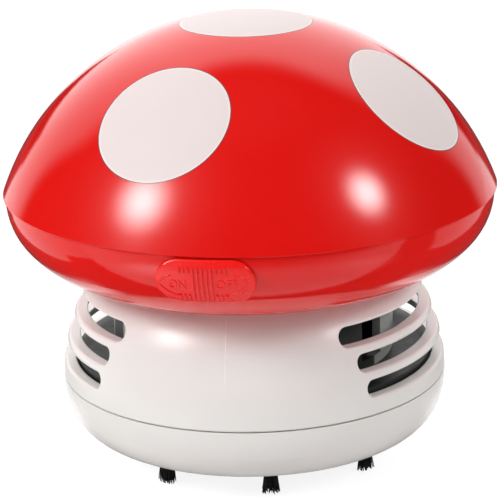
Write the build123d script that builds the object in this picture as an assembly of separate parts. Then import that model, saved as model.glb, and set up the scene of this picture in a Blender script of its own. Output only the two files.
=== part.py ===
from build123d import *
from math import cos, degrees, radians, sin
import os

# Desktop mini vacuum cleaner in the shape of a toadstool, millimetres, +Z up.
# Origin: centre of the resting plane, under the tips of the bristle tufts.
# The switch faces -Y and the air vents face +X and -X. An azimuth is counted
# from the front (-Y), positive towards +X.

# ---- Fits ----------------------------------------------------------------
FIT = 0.15          # a piece that slips over or into another and stays there
GAP = 0.3           # curved faces that pass each other
RUN = 0.03          # radial clearance of the motor shaft in its bearings
SEAT = 0.2          # a moving piece over the face it comes to rest on
OVER = 1.0          # how far a cutter runs past the face it opens

# ---- Cap lid (dome) --------------------------------------------------------
SEAM_Z = 59.0             # joint between the two halves of the cap
CAP_RADIUS = 52.75        # widest part of the cap, a short upright band
BAND_HEIGHT = 0.3
DOME_RISE = 36.6          # height of the dome above the band
CAP_WALL = 2.2
SEAM_STEP = 0.5           # the lid stands this far out over the lower half
SEAM_BEVEL = 0.15         # bevels that make the fine line at the seam
LIP_DEPTH = 3.0           # locating lip of the lid, inside the lower half
LIP_WALL = 1.5

# ---- Cap lower half ----------------------------------------------------------
BASE_UPRIGHT = 0.75       # upright stretch under the seam
BASE_SHOULDER = 13.85     # first arc of the belly and its turn
BASE_SHOULDER_TURN = 40.8
BASE_BELLY = 22.8         # second arc, which runs under to the body
BASE_BELLY_TURN = 34.2
NECK_Z = 41.8             # plane where the red cap sits on the white body
BASE_FLOOR = 2.0
BASE_OPENING = 16.0       # hole in the floor for the motor
TRAY_BOSS_RADIUS = 3.0
SWITCH_POST_RADIUS = 1.9

# ---- White body --------------------------------------------------------------
BODY_RADIUS = 41.65       # widest, at WAIST_Z
WAIST_Z = 17.6
BODY_ARC = 34.0
BODY_LEAN = 18.5          # the arc turns this far, then the wall runs straight
BODY_WALL = 2.4
BODY_BOTTOM = 18.4
FLANGE = 2.0              # inward flange under the cap
FLANGE_BORE = 27.0

# Air vents: three slots a side, symmetric about the sides of the body.
VENT_HEIGHTS = (4.05, 3.6, 3.45)
VENT_BAR = 1.87           # wall left between two slots
VENT_TOP = 36.8
VENT_ENDS = (36.9, 41.6, 43.5)   # azimuth where each slot starts
VENT_ROUND = 0.6          # rounding of the slots' outer edges

# ---- Fan -----------------------------------------------------------------------
CAGE_RADIUS = 30.4
CAGE_WALL = 1.8
CAGE_TOP = 2.0            # top plate, which carries the motor
CAGE_FLANGE = 33.0        # radius of the top plate
WINDOW_WIDTH = 13.7       # degrees
WINDOW_PITCH = 26.0
WINDOW_MARGIN = 2.0       # solid band above and below the windows
PILLAR_AZIMUTH = 20.0
PILLAR_RING = 30.9
PILLAR_RADIUS = 2.5

FAN_FLOOR_Z = 23.0        # top of the fan floor, foot of the cage
FAN_FLOOR = 2.0
EYE_RADIUS = 11.0
EYE_BARS = 3
EYE_BAR_WIDTH = 1.4
IMPELLER_RADIUS = 27.4
IMPELLER_DISC = 1.5
IMPELLER_TOP_GAP = 0.9
IMPELLER_FOOT_GAP = 2.0
BLADES = 10
BLADE_THICKNESS = 1.2
BLADE_INNER = 9.5
BLADE_SETBACK = 0.3       # blade tips inside the rim of the disc
BLADE_SWEEP = 20.0        # backward lean of the blades
HUB_RADIUS = 3.6
HUB_LENGTH = 7.0

# ---- Bayonet skirt and dust cup ---------------------------------------------------
SKIRT_RADIUS = 38.2
SKIRT_WALL = 2.4
SKIRT_BOTTOM = 11.0
LUGS = 3
LUG_RADIUS = 1.1
LUG_LENGTH = 1.3          # how far a lug stands out of the cup wall
LUG_Z = 16.0              # height of a lug with the cup closed
LUG_AZIMUTH = 60.0
CUP_TURN = 60.0           # twist that frees the cup
CUP_DROP = 3.5            # how far it comes down meanwhile
GROOVE_SIDE = 0.25        # clearance beside a lug in its groove
CUP_SEAM_GAP = 0.3
CUP_LIP = 1.1             # lip of the cup inside the body wall
CUP_UPPER_ARC = 19.5
CUP_UPPER_TURN = 17.5
CUP_CORNER = 9.3
CUP_CORNER_TURN = 52.0
CUP_UNDERSIDE = 3.9
CUP_WALL = 2.0
COLLAR_RADIUS = 35.0
COLLAR_WALL = 1.5
COLLAR_TOP = 15.0
MOUTH_RADIUS = 8.0        # suction mouth in the middle of the underside
CHIMNEY_WALL = 1.4
CHIMNEY_TOP = 12.8
CHIMNEY_SLANT = 14.0      # degrees, the rim of the chimney is cut at a slant
MOUTH_BEVEL = 1.2

# Filter between the cup and the fan floor.
FRAME_HEIGHT = 2.0
FRAME_WALL = 1.9
FRAME_SPOKES = 6
SPOKE_WIDTH = 1.6
SPOKE_STEP = 0.4          # the spokes lie this far above the foot of the ring
KEY_WIDTH = 4.0
KEY_DEPTH = 0.8
CLOTH_THICKNESS = 1.0
CLOTH_MARGIN = 0.6        # the cloth stops this far inside the ring's edge

# Bristle tufts.
TUFTS = 8
TUFT_RING = 30.0
TUFT_AZIMUTH = 14.2       # first tuft
TUFT_ROOT = (3.0, 1.6)
TUFT_TIP = (3.7, 2.4)
TUFT_DEPTH = 1.5          # of a tuft's root in the cup's floor
SOCKET_FIT = 0.05

# ---- Motor: flat-sided can with a 2 mm shaft --------------------------------------
CAN_RADIUS = 10.05
CAN_FLATS = 15.1
CAN_LENGTH = 22.6
CAN_WALL = 0.8
MOTOR_BOSS = 3.0
MOTOR_BOSS_HEIGHT = 1.5
BUSH_RADIUS = 2.0
BUSH_LENGTH = 3.0
SHAFT_RADIUS = 1.0
SHAFT_STICK_OUT = 9.5
END_BELL = 2.5
END_BELL_BOSS = 1.5
END_BELL_PLUG = 2.0       # how far it reaches down into the can
TERMINAL = (2.4, 0.4, 3.6)
TERMINAL_X = 7.0
TERMINAL_ROOT = 1.5       # depth of a terminal in the end bell
TERMINAL_EYE = 0.5
TERMINAL_EYE_DROP = 1.0   # from the tip of the terminal
ARMATURE_RADIUS = 6.4
ARMATURE_LENGTH = 11.0
ARMATURE_LIFT = 5.0       # over the motor's face
POLES = 3
POLE_SLOT = (3.2, 1.0)
COMMUTATOR_RADIUS = 2.2
COMMUTATOR_DROP = 0.6     # end of the commutator, under the top of the can
BRUSH_SPACE = 0.8         # round the commutator
MAGNET_WALL = 1.7
MAGNET_GLUE = 0.05
MAGNET_ARC = 76.0
POCKET_WALL = 1.4         # walls on the cage top that hold the can upright
POCKET_HEIGHT = 6.0
POCKET_CORNER = 3.0

# ---- Cells and tray ------------------------------------------------------------------
CELL_RADIUS = 7.15
CELL_LENGTH = 50.5
CELL_NUB_RADIUS = 2.6
CELL_NUB = 1.2
CELL_BEVEL = 0.5
SLEEVE_WALL = 1.0         # tray sleeve round the motor
TRAY_FLOOR_Z = 51.5
TRAY_FLOOR = 1.8
TRAY_WALL = 1.6
TRAY_WALL_HEIGHT = 9.5
TRAY_CORNER = 3.0
NOTCH_WIDTH = 22.0        # finger notches in the long walls
NOTCH_SILL = 3.5
ROOF = 1.2                # over the motor
ROOF_HOLE_GAP = 0.4       # round the end bell's boss and the terminals
CELL_LIFT = 0.3
PLATE = 0.4               # contact plate thickness
PLATE_LIFT = 0.2          # over the tray's floor
PLATE_OVER = 1.5          # how far a plate stands above the tray's wall
PLATE_HALF = 5.5
PLATE_CORNER = 1.5
PLATE_INSET = 1.5         # the bridge ends this far inside the cells' outer sides
SPRING_SPACE = 4.6
SPRING_RADIUS = 3.1
SPRING_WIRE = 0.7
SPRING_TURNS = 3
SPRING_PLAY = 0.1
CRADLE_X = 14.0
CRADLE_WALL = 1.6
CRADLE_HEIGHT = 3.4
EAR_X = 22.0
EAR_OUT = 4.0
EAR_RADIUS = 3.2

# ---- Screws -----------------------------------------------------------------------------
SCREW_RADIUS = 1.15
SCREW_HOLE = 1.5
SCREW_HEAD_RADIUS = 2.3
SCREW_HEAD = 1.5
SMALL_SCREW_RADIUS = 0.85
SMALL_SCREW_HEAD_RADIUS = 1.7
SMALL_SCREW_HEAD = 1.1
SHELL_SCREW_LENGTH = 11.0
FAN_SCREW_LENGTH = 8.0
TRAY_SCREW_LENGTH = 7.0
SWITCH_SCREW_LENGTH = 3.6
THREAD_GAP = 0.03

# ---- Switch ------------------------------------------------------------------------------
SLIDER_WIDTH = 19.9
SLIDER_HEIGHT = 9.5
SLIDER_TOP_GAP = 0.35
SLIDER_PROUD = 1.2
SLIDER_CREST = 1.45       # height of the bevel along the slider's top
SLIDER_LEAN = 0.55        # how far that bevel leans back
SLIDER_EDGE = 0.5         # rounding of the slider's edges
SLIDER_TRAVEL = 2.7       # degrees round the cap, from ON to OFF
RIBS_EACH_SIDE = 3        # short ribs beside the long ones
LONG_RIBS = 5
RIB_PITCH = 0.92
RIB_WIDTH = 0.45
RIB_PROUD = 0.3
RIB_SHIFT = -0.45         # the ribs sit left of the middle, as OFF is the longer word
SHORT_RIB = 1.1
RIB_MARGIN = 0.7          # from the slider's lower edge
STEM_WIDTH = 7.0
STEM_HEIGHT = 3.4
STEM_Z = 53.3
BARB_HEIGHT = 0.6
BARB_THICKNESS = 1.0
STEM_INNER = 45.8         # radius where the stem ends inside the cap
LEVER_WIDTH = 2.0
LEVER_HEIGHT = 2.6
LEVER_REACH = 49.0        # distance of the lever's tip from the axis
LEVER_PLAY = 0.12
BRACKET_Y = -43.5         # front face of the switch bracket
BRACKET = 0.5
BRACKET_WIDTH = 19.0
BRACKET_CORNER = 1.4
SWITCH_CASE = (9.6, 4.5, 5.8)
SWITCH_SCREW_X = 7.4
SWITCH_SCREW_HOLE = 1.0
BOARD = 1.2               # thickness of the switch's board
BOARD_PLAY = 0.05
PINS = 3
PIN = (0.8, 4.4, 0.5)
PIN_PITCH = 3.0
PIN_PLAY = 0.05
SHOE = (4.4, 3.8)         # sliding block of the lever, width and height

# ---- Worked out from the values above ---------------------------------------------------
BASE_RADIUS = CAP_RADIUS - SEAM_STEP
BAND_TOP = SEAM_Z + BAND_HEIGHT
DOME_SPHERE = (CAP_RADIUS**2 + DOME_RISE**2) / (2 * DOME_RISE)
DOME_CENTRE = BAND_TOP + DOME_RISE - DOME_SPHERE
BASE_TANGENT_Z = SEAM_Z - BASE_UPRIGHT
BASE_FLOOR_TOP = NECK_Z + BASE_FLOOR
FLANGE_Z = NECK_Z - FLANGE
MOTOR_Z = FLANGE_Z                       # top of the cage, face of the motor
CAGE_UNDER = MOTOR_Z - CAGE_TOP
PILLARS = (PILLAR_AZIMUTH, -PILLAR_AZIMUTH, 180 - PILLAR_AZIMUTH, 180 + PILLAR_AZIMUTH)
FAN_UNDER = FAN_FLOOR_Z - FAN_FLOOR
BODY_INNER_AT_FLOOR = (BODY_RADIUS - BODY_ARC) + (
    (BODY_ARC - BODY_WALL) ** 2 - (FAN_FLOOR_Z - WAIST_Z) ** 2) ** 0.5
FAN_BASE_RADIUS = BODY_INNER_AT_FLOOR - GAP
CUP_TOP = BODY_BOTTOM - CUP_SEAM_GAP
KEY_TURN = (360 / LUGS - CUP_TURN) / 2   # from a locked lug to a key of the filter
CUP_BORE = SKIRT_RADIUS + GAP
CUP_LIP_RADIUS = BODY_RADIUS - BODY_WALL - GAP
SKIRT_BORE = SKIRT_RADIUS - SKIRT_WALL
GROOVE_FLOOR = CUP_BORE - LUG_LENGTH - GAP
FRAME_Z = COLLAR_TOP + SEAT
FRAME_RADIUS = SKIRT_BORE - GAP
CELL_Y = CAN_FLATS / 2 + FIT + SLEEVE_WALL + GAP + CELL_RADIUS
TRAY_TOP = TRAY_FLOOR_Z + TRAY_FLOOR     # top of the tray's floor
CELL_Z = TRAY_TOP + CELL_LIFT + CELL_RADIUS
TRAY_INNER_X = CELL_LENGTH / 2 + SPRING_SPACE / 2 + PLATE + FIT
TRAY_INNER_Y = CELL_Y + CELL_RADIUS + GAP
EAR_Y = TRAY_INNER_Y + TRAY_WALL + EAR_OUT
CAN_TOP = MOTOR_Z + CAN_LENGTH
ARMATURE_Z = MOTOR_Z + ARMATURE_LIFT
MOTOR_TOP = CAN_TOP + END_BELL
SLIDER_Z = SEAM_Z - SLIDER_TOP_GAP - SLIDER_HEIGHT / 2
SLIDER_AZIMUTH = -SLIDER_TRAVEL / 2      # at rest: pushed to the ON end
LEVER_X = (STEM_INNER + LEVER_REACH) / 2 * sin(radians(SLIDER_AZIMUTH))
SWITCH_BACK = BRACKET_Y + BRACKET + SWITCH_CASE[1]


# ---- Helpers ---------------------------------------------------------------------------
def turned(edges):
    """Solid of revolution about Z of a closed outline drawn as (radius, height)."""
    return Rot(0, 0, 90) * revolve(Plane.XZ * make_face(edges), Axis.Z)


def disc(radius, z_low, z_high):
    return Pos(0, 0, z_low) * extrude(Circle(radius), z_high - z_low)


def tube(outer, inner, z_low, z_high):
    return Pos(0, 0, z_low) * extrude(Circle(outer) - Circle(inner), z_high - z_low)


def block(width, depth, z_low, z_high, x=0, y=0):
    return Pos(x, y, z_low) * extrude(Rectangle(width, depth), z_high - z_low)


def at_azimuth(azimuth):
    """Turns a piece drawn at the front (-Y) round the axis."""
    return Rot(0, 0, azimuth)


def sector(outer, inner, z_low, z_high, azimuth, width):
    """Piece of a tube, width degrees wide, centred on an azimuth."""
    outline = Plane.XZ * Pos((outer + inner) / 2, (z_low + z_high) / 2) * Rectangle(
        outer - inner, z_high - z_low)
    return Rot(0, 0, azimuth - 90 - width / 2) * revolve(outline, Axis.Z, width)


def spot(azimuth, radius, z=0):
    """Location on a circle round the axis, at the front for azimuth 0."""
    return at_azimuth(azimuth) * Pos(0, -radius, z)


def group(pieces):
    """Several like pieces of one kind, each a solid of its own."""
    return Compound(children=[piece.solid() for piece in pieces])


def extend(edge, height):
    """End point of the straight run on from an edge's end to a height."""
    point, tangent = edge @ 1, edge % 1
    return point + tangent * ((height - point.Y) / tangent.Y)


def outside(edges, form):
    """Those edges that lie outside a form."""
    return [edge for edge in edges if not form.is_inside(edge @ 0.5)]


def screw(length, shank, head_radius, head):
    """Screw with its head up: underside of the head at the origin."""
    return extrude(Circle(head_radius), head) + extrude(Circle(shank), -length)


# ---- Outlines that several pieces share -------------------------------------------------
def cap_base_form(inset, floor_z):
    """Belly of the cap's lower half, moved inwards by inset."""
    radius = BASE_RADIUS - inset
    upright = Line((radius, SEAM_Z), (radius, BASE_TANGENT_Z))
    shoulder = JernArc(upright @ 1, (0, -1), BASE_SHOULDER - inset, -BASE_SHOULDER_TURN)
    belly = JernArc(shoulder @ 1, shoulder % 1, BASE_BELLY - inset, -BASE_BELLY_TURN)
    foot = extend(belly, floor_z)
    rest = Polyline(belly @ 1, foot, (0, floor_z), (0, SEAM_Z), (radius, SEAM_Z))
    return turned([upright, shoulder, belly, rest])


def dome_form(inset, foot_z):
    """Band and dome of the lid, moved inwards by inset."""
    radius = CAP_RADIUS - inset
    sphere = DOME_SPHERE - inset
    knee = DOME_CENTRE + (sphere**2 - radius**2) ** 0.5
    band = Polyline((0, foot_z), (radius, foot_z), (radius, knee))
    middle = (sphere * sin(radians(45)), DOME_CENTRE + sphere * cos(radians(45)))
    crown = ThreePointArc((radius, knee), middle, (0, DOME_CENTRE + sphere))
    axis = Line((0, DOME_CENTRE + sphere), (0, foot_z))
    return turned([band, crown, axis])


def body_form(inset, top_z):
    """White body from the waist up to top_z, moved inwards by inset."""
    radius = BODY_RADIUS - inset
    arc = JernArc((radius, WAIST_Z), (0, 1), BODY_ARC - inset, BODY_LEAN)
    top = extend(arc, top_z)
    rest = Polyline(arc @ 1, top, (0, top_z), (0, WAIST_Z), (radius, WAIST_Z))
    return turned([arc, rest])


def cup_form(inset, top_z):
    """Dust cup from its underside up to top_z, moved inwards by inset."""
    radius = BODY_RADIUS - inset
    underside = CUP_UNDERSIDE + inset
    side = JernArc((radius, WAIST_Z), (0, -1), CUP_UPPER_ARC - inset, -CUP_UPPER_TURN)
    corner = JernArc(side @ 1, side % 1, CUP_CORNER - inset, -CUP_CORNER_TURN)
    foot = extend(corner, underside)
    rest = Polyline(corner @ 1, foot, (0, underside), (0, top_z), (radius, top_z), (radius, WAIST_Z))
    return turned([side, corner, rest])


def can_outline(inset):
    """Flat-sided outline of the motor can, flats facing +Y and -Y."""
    across = CAN_FLATS - 2 * inset
    return Circle(CAN_RADIUS - inset) & Rectangle(2 * CAN_RADIUS, across)


# ---- Cap ----------------------------------------------------------------------------------
def make_cap_dome():
    shell = dome_form(0, SEAM_Z) - dome_form(CAP_WALL, SEAM_Z - OVER)
    rim = shell.edges().group_by(Axis.Z)[0].sort_by(SortBy.LENGTH)[-1]
    shell = chamfer(rim, SEAM_BEVEL)
    lip_outer = BASE_RADIUS - CAP_WALL - GAP
    lip_inner = lip_outer - LIP_WALL
    shelf = tube(CAP_RADIUS - CAP_WALL / 2, lip_inner, SEAM_Z, SEAM_Z + LIP_WALL)
    lip = tube(lip_outer, lip_inner, SEAM_Z - LIP_DEPTH, SEAM_Z + LIP_WALL)
    return shell + (shelf + lip & dome_form(CAP_WALL / 2, SEAM_Z - LIP_DEPTH))


def make_cap_base():
    shell = cap_base_form(0, NECK_Z) - cap_base_form(CAP_WALL, BASE_FLOOR_TOP)
    rim = shell.edges().group_by(Axis.Z)[-1].sort_by(SortBy.LENGTH)[-1]
    shell = chamfer(rim, SEAM_BEVEL)
    shell -= disc(BASE_OPENING, NECK_Z - OVER, BASE_FLOOR_TOP + OVER)
    for azimuth in PILLARS:
        shell -= spot(azimuth, PILLAR_RING) * disc(SCREW_HOLE, NECK_Z - OVER, BASE_FLOOR_TOP + OVER)
    # Bosses for the battery tray.
    for x in (-EAR_X, EAR_X):
        for y in (-EAR_Y, EAR_Y):
            shell += Pos(x, y) * disc(TRAY_BOSS_RADIUS, BASE_FLOOR_TOP - OVER, TRAY_FLOOR_Z)
            shell -= Pos(x, y) * disc(SCREW_RADIUS + THREAD_GAP, BASE_FLOOR_TOP, TRAY_FLOOR_Z)
    # Posts for the switch bracket, from the wall to the bracket.
    inside = cap_base_form(CAP_WALL / 2, NECK_Z)
    for x in (-SWITCH_SCREW_X, SWITCH_SCREW_X):
        front = Pos(x, BRACKET_Y, STEM_Z) * Rot(90, 0, 0)
        shell += front * extrude(Circle(SWITCH_POST_RADIUS), BASE_RADIUS + BRACKET_Y) & inside
        shell -= front * extrude(Circle(SMALL_SCREW_RADIUS + THREAD_GAP), SWITCH_SCREW_LENGTH)
    # Window for the slider's stem.
    reach = degrees((STEM_WIDTH / 2 + GAP) / STEM_INNER) + SLIDER_TRAVEL / 2
    tall = STEM_HEIGHT / 2 + GAP
    return shell - sector(BASE_RADIUS + OVER, STEM_INNER - OVER, STEM_Z - tall, STEM_Z + tall,
                          0, 2 * reach)


# ---- White body ----------------------------------------------------------------------------
def vent_cutter(low_z, height, start_azimuth, side):
    """One stadium-ended slot through the wall, centred on a side of the body."""
    middle_z = low_z + height / 2
    outer, inner = BODY_RADIUS + OVER, CAGE_FLANGE
    cap_angle = degrees(height / 2 / BODY_RADIUS)
    half = 90 - start_azimuth - cap_angle
    cutter = sector(outer, inner, low_z, low_z + height, side, 2 * half)
    for end in (side - half, side + half):
        rod = Pos(0, -(outer + inner) / 2, middle_z) * Rot(90, 0, 0) * Cylinder(
            height / 2, outer - inner)
        cutter += at_azimuth(end) * rod
    return cutter


def make_body_shell():
    whole = body_form(0, NECK_Z)
    shell = whole
    for side in (90, -90):
        top = VENT_TOP
        for height, start in zip(VENT_HEIGHTS, VENT_ENDS):
            shell -= vent_cutter(top - height, height, start, side)
            top -= height + VENT_BAR
    slot_edges = new_edges(whole, combined=shell)
    shell = fillet(outside(slot_edges, body_form(BODY_WALL / 2, NECK_Z)), VENT_ROUND)
    shell -= body_form(BODY_WALL, FLANGE_Z)
    shell -= disc(FLANGE_BORE, FLANGE_Z - OVER, NECK_Z + OVER)
    shell -= disc(BODY_RADIUS + OVER, WAIST_Z - OVER, BODY_BOTTOM)
    for azimuth in PILLARS:
        shell -= spot(azimuth, PILLAR_RING) * disc(SCREW_HOLE, FLANGE_Z - OVER, NECK_Z + OVER)
    return shell


# ---- Fan --------------------------------------------------------------------------------------
def make_fan_housing():
    cage_bore = CAGE_RADIUS - CAGE_WALL
    cage = tube(CAGE_RADIUS, cage_bore, FAN_FLOOR_Z, CAGE_UNDER)
    for azimuth in PILLARS:
        cage += spot(azimuth, PILLAR_RING) * disc(PILLAR_RADIUS, FAN_FLOOR_Z, CAGE_UNDER)
    cage -= disc(cage_bore, FAN_FLOOR_Z, CAGE_UNDER)
    for side in (90, -90):
        for step in (-2, -1, 1, 2):
            cage -= sector(CAGE_RADIUS + OVER, cage_bore - OVER, FAN_FLOOR_Z + WINDOW_MARGIN,
                           CAGE_UNDER - WINDOW_MARGIN, side + step * WINDOW_PITCH, WINDOW_WIDTH)
    cage += disc(CAGE_FLANGE, CAGE_UNDER, MOTOR_Z)
    pocket = Rectangle(2 * (CAN_RADIUS + FIT + POCKET_WALL), CAN_FLATS + 2 * (FIT + POCKET_WALL))
    pocket = fillet(pocket.vertices(), POCKET_CORNER) - can_outline(-FIT)
    cage += Pos(0, 0, MOTOR_Z) * extrude(pocket, POCKET_HEIGHT)
    cage -= disc(MOTOR_BOSS + FIT, CAGE_UNDER - OVER, MOTOR_Z + OVER)
    for azimuth in PILLARS:
        cage -= spot(azimuth, PILLAR_RING) * disc(SCREW_RADIUS + THREAD_GAP, FAN_FLOOR_Z, MOTOR_Z)
    return cage


def lug_groove(azimuth):
    """Helical groove that starts at the locked lug and runs down to the way out."""
    width = 2 * (LUG_RADIUS + GROOVE_SIDE)
    overrun = degrees(width / 2 / SKIRT_RADIUS)
    lead = CUP_DROP * 360 / CUP_TURN
    rise = lead * (CUP_TURN + 2 * overrun) / 360
    start_z = LUG_Z - CUP_DROP - lead * overrun / 360
    depth = SKIRT_RADIUS + OVER - GROOVE_FLOOR
    middle = GROOVE_FLOOR + depth / 2
    path = Helix(lead, rise, middle, center=(0, 0, start_z))
    section = Plane(path @ 0, x_dir=(1, 0, 0), z_dir=path % 0) * Rectangle(depth, width)
    helix = sweep(section, path=path, is_frenet=True)
    exit_z = LUG_Z - CUP_DROP
    mouth = block(depth, width, SKIRT_BOTTOM - OVER, exit_z, middle)
    # The helix starts at +X, a quarter turn round from the front.
    return at_azimuth(azimuth - CUP_TURN - 90) * (Rot(0, 0, -overrun) * helix + mouth)


def filter_key(z_low, z_high, gap=0):
    """Key that stands out of the filter ring, or with a gap, its slot in the skirt."""
    outer, inner = SKIRT_BORE + KEY_DEPTH + gap, FRAME_RADIUS - FRAME_WALL / 2
    return block(KEY_WIDTH + 2 * gap, outer - inner, z_low, z_high, 0, -(outer + inner) / 2)


def make_fan_base():
    base = disc(FAN_BASE_RADIUS, FAN_UNDER, FAN_FLOOR_Z)
    base -= disc(EYE_RADIUS, FAN_UNDER - OVER, FAN_FLOOR_Z + OVER)
    for bar in range(EYE_BARS):
        base += Rot(0, 0, bar * 180 / EYE_BARS) * block(
            2 * EYE_RADIUS + OVER, EYE_BAR_WIDTH, FAN_UNDER, FAN_FLOOR_Z)
    skirt = tube(SKIRT_RADIUS, SKIRT_BORE, SKIRT_BOTTOM, FAN_UNDER)
    for lug in range(LUGS):
        azimuth = LUG_AZIMUTH + lug * 360 / LUGS
        skirt -= lug_groove(azimuth)
        key_slot = filter_key(SKIRT_BOTTOM - OVER, FRAME_Z + FRAME_HEIGHT + GAP, GAP)
        skirt -= at_azimuth(azimuth + KEY_TURN) * key_slot
    base += skirt
    for azimuth in PILLARS:
        base -= spot(azimuth, PILLAR_RING) * disc(SCREW_HOLE, FAN_UNDER - OVER, FAN_FLOOR_Z + OVER)
    return base


def make_impeller():
    top = CAGE_UNDER - IMPELLER_TOP_GAP
    foot = FAN_FLOOR_Z + IMPELLER_FOOT_GAP
    wheel = disc(IMPELLER_RADIUS, top - IMPELLER_DISC, top)
    length = 1.2 * (IMPELLER_RADIUS - BLADE_INNER)
    plan = Pos(BLADE_INNER, 0) * Rot(0, 0, -BLADE_SWEEP) * Rectangle(2 * length, BLADE_THICKNESS)
    tips = Circle(IMPELLER_RADIUS - BLADE_SETBACK) - Circle(BLADE_INNER)
    plan = (plan & tips).faces().sort_by(Axis.X)[-1]
    blade = Pos(0, 0, foot) * extrude(plan, top - foot - IMPELLER_DISC / 2)
    for step in range(BLADES):
        wheel += Rot(0, 0, step * 360 / BLADES) * blade
    wheel += disc(HUB_RADIUS, top - HUB_LENGTH, top)
    return wheel - disc(SHAFT_RADIUS, foot, top + OVER)


# ---- Dust cup, filter and bristles ---------------------------------------------------------------
def tuft_azimuths():
    return [TUFT_AZIMUTH + step * 360 / TUFTS for step in range(TUFTS)]


def make_dust_cup():
    cup = cup_form(0, CUP_TOP)
    cup += tube(CUP_LIP_RADIUS, CUP_BORE, CUP_TOP - OVER, CUP_TOP + CUP_LIP)
    over = CUP_TOP + CUP_LIP + OVER
    inside = cup_form(CUP_WALL, over)
    cup -= inside & tube(CUP_BORE, COLLAR_RADIUS, CUP_UNDERSIDE, over)
    cup -= disc(CUP_BORE, COLLAR_TOP, over)
    cavity = inside & disc(COLLAR_RADIUS - COLLAR_WALL, CUP_UNDERSIDE, COLLAR_TOP + OVER)
    cavity -= disc(MOUTH_RADIUS + CHIMNEY_WALL, CUP_UNDERSIDE, CHIMNEY_TOP)
    floor_top = CUP_UNDERSIDE + CUP_WALL
    cup -= cavity
    chimney = MOUTH_RADIUS + CHIMNEY_WALL
    slant = Pos(0, 0, CHIMNEY_TOP) * Rot(0, CHIMNEY_SLANT, 0) * extrude(Circle(2 * chimney), chimney)
    cup -= slant & disc(chimney + OVER, floor_top, COLLAR_TOP + chimney)
    cup -= disc(MOUTH_RADIUS, CUP_UNDERSIDE - OVER, COLLAR_TOP + chimney)
    mouth = cup.edges().filter_by(GeomType.CIRCLE).group_by(Axis.Z)[0].sort_by(SortBy.LENGTH)[0]
    cup = chamfer(mouth, MOUTH_BEVEL)
    for azimuth in tuft_azimuths():
        cup -= spot(azimuth, TUFT_RING) * block(
            TUFT_ROOT[0] + 2 * SOCKET_FIT, TUFT_ROOT[1] + 2 * SOCKET_FIT, CUP_UNDERSIDE - OVER,
            CUP_UNDERSIDE + TUFT_DEPTH)
    rod = Rot(90, 0, 0) * extrude(Circle(LUG_RADIUS), -LUG_LENGTH - OVER)
    for lug in range(LUGS):
        cup += spot(LUG_AZIMUTH + lug * 360 / LUGS, CUP_BORE + OVER, LUG_Z) * rod
    return cup


def make_filter_frame():
    top = FRAME_Z + FRAME_HEIGHT
    frame = tube(FRAME_RADIUS, FRAME_RADIUS - FRAME_WALL, FRAME_Z, top)
    for bar in range(FRAME_SPOKES // 2):
        spoke = block(2 * FRAME_RADIUS - FRAME_WALL, SPOKE_WIDTH, FRAME_Z + SPOKE_STEP, top)
        frame += Rot(0, 0, bar * 360 / FRAME_SPOKES) * spoke
    for lug in range(LUGS):
        frame += at_azimuth(LUG_AZIMUTH + lug * 360 / LUGS + KEY_TURN) * filter_key(FRAME_Z, top)
    return frame


def make_filter_cloth():
    low = FRAME_Z + FRAME_HEIGHT
    return disc(FRAME_RADIUS - CLOTH_MARGIN, low, low + CLOTH_THICKNESS)


def make_bristle_tufts():
    tufts = []
    for azimuth in tuft_azimuths():
        root = extrude(Rectangle(*TUFT_ROOT), TUFT_DEPTH)
        brush = loft([Rectangle(*TUFT_ROOT), Pos(0, 0, -CUP_UNDERSIDE) * Rectangle(*TUFT_TIP)])
        tufts.append(spot(azimuth, TUFT_RING, CUP_UNDERSIDE) * (root + brush))
    return group(tufts)


# ---- Motor ------------------------------------------------------------------------------------------
def make_motor_can():
    can = Pos(0, 0, MOTOR_Z) * extrude(can_outline(0), CAN_LENGTH)
    can += disc(MOTOR_BOSS, MOTOR_Z - MOTOR_BOSS_HEIGHT, MOTOR_Z + CAN_WALL)
    can -= Pos(0, 0, MOTOR_Z + CAN_WALL) * extrude(can_outline(CAN_WALL), CAN_LENGTH)
    return can - disc(BUSH_RADIUS, MOTOR_Z - MOTOR_BOSS_HEIGHT - OVER, MOTOR_Z + CAN_WALL + OVER)


def make_motor_bush():
    low = MOTOR_Z - MOTOR_BOSS_HEIGHT
    return tube(BUSH_RADIUS, SHAFT_RADIUS + RUN, low, low + BUSH_LENGTH)


def make_motor_end_bell():
    plug_foot = CAN_TOP - END_BELL_PLUG
    bell = Pos(0, 0, CAN_TOP) * extrude(can_outline(0), END_BELL)
    bell += Pos(0, 0, plug_foot) * extrude(can_outline(CAN_WALL + FIT), END_BELL_PLUG)
    bell += disc(MOTOR_BOSS, MOTOR_TOP, MOTOR_TOP + END_BELL_BOSS)
    bell -= disc(COMMUTATOR_RADIUS + BRUSH_SPACE, plug_foot - OVER, CAN_TOP)
    for x in (-TERMINAL_X, TERMINAL_X):
        bell -= block(TERMINAL[0], TERMINAL[1], MOTOR_TOP - TERMINAL_ROOT, MOTOR_TOP + OVER, x)
    return bell - disc(SHAFT_RADIUS + RUN, plug_foot, MOTOR_TOP + END_BELL_BOSS + OVER)


def make_motor_terminals():
    width, thick, height = TERMINAL
    tabs = []
    for x in (-TERMINAL_X, TERMINAL_X):
        tab = block(width, thick, MOTOR_TOP - TERMINAL_ROOT, MOTOR_TOP + height, x)
        eye = Rot(90, 0, 0) * Cylinder(TERMINAL_EYE, 2 * OVER)
        tabs.append(tab - Pos(x, 0, MOTOR_TOP + height - TERMINAL_EYE_DROP) * eye)
    return group(tabs)


def make_motor_shaft():
    return disc(SHAFT_RADIUS, MOTOR_Z - SHAFT_STICK_OUT, MOTOR_TOP + END_BELL_BOSS)


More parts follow.
